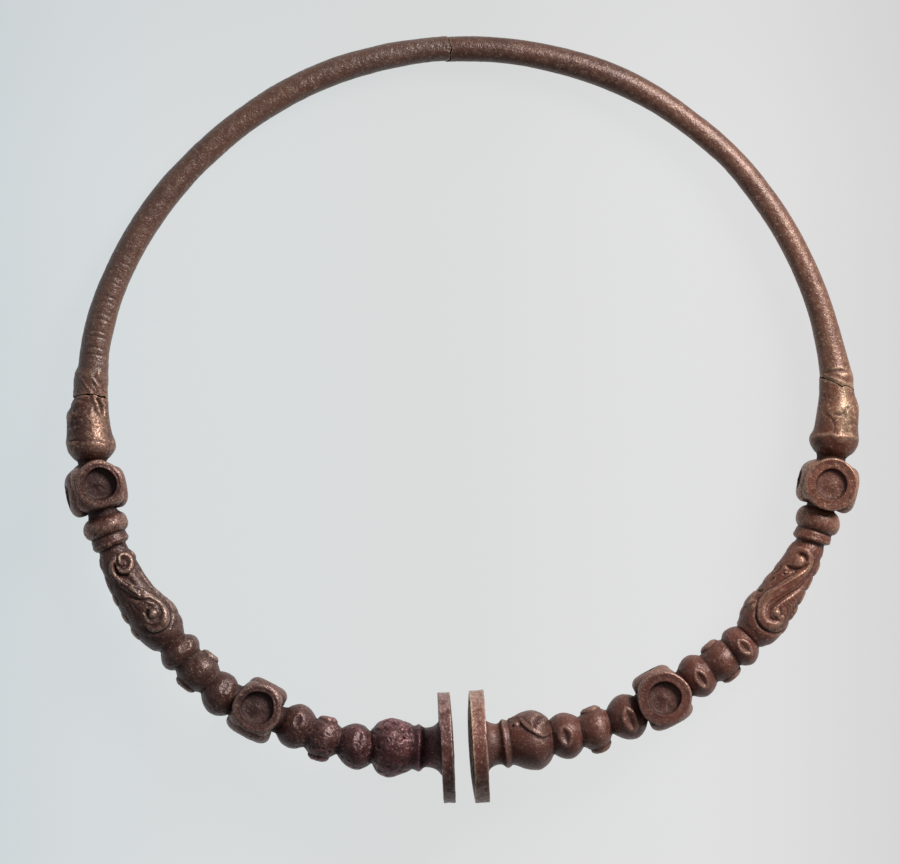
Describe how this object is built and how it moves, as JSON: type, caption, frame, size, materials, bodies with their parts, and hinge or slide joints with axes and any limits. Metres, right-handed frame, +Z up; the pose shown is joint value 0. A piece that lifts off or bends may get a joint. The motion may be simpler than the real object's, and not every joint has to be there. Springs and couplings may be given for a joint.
{
  "type": "torc",
  "caption": "Open neck ring of cast bronze: facing buffer discs, beaded ends with cupped blocks and raised S-scrolls, and a plain round hoop, broken and patinated.",
  "frame": {"origin": "middle of the bounding box's underside: the torc lies on the ground, on the rims of its two buffers and the back of its hoop", "axes": "+Z up, through the ring; -Y towards the gap between the buffers; +X to the right as the torc is seen from above with the gap nearest"},
  "size_m": [0.1512, 0.1454, 0.0211],
  "materials": {
    "cast_bronze": "patinated, red-brown, worn to copper on its high places",
    "pitted_bronze": "patinated, brown and finely pitted",
    "rubbed_bronze": "patinated, rubbed smooth, with a warm copper sheen"
  },
  "bodies": {
    "root": {"hoop_left": "pitted_bronze", "hoop_right": "rubbed_bronze", "end_left": "cast_bronze", "end_right": "cast_bronze"}
  },
  "joints": []
}
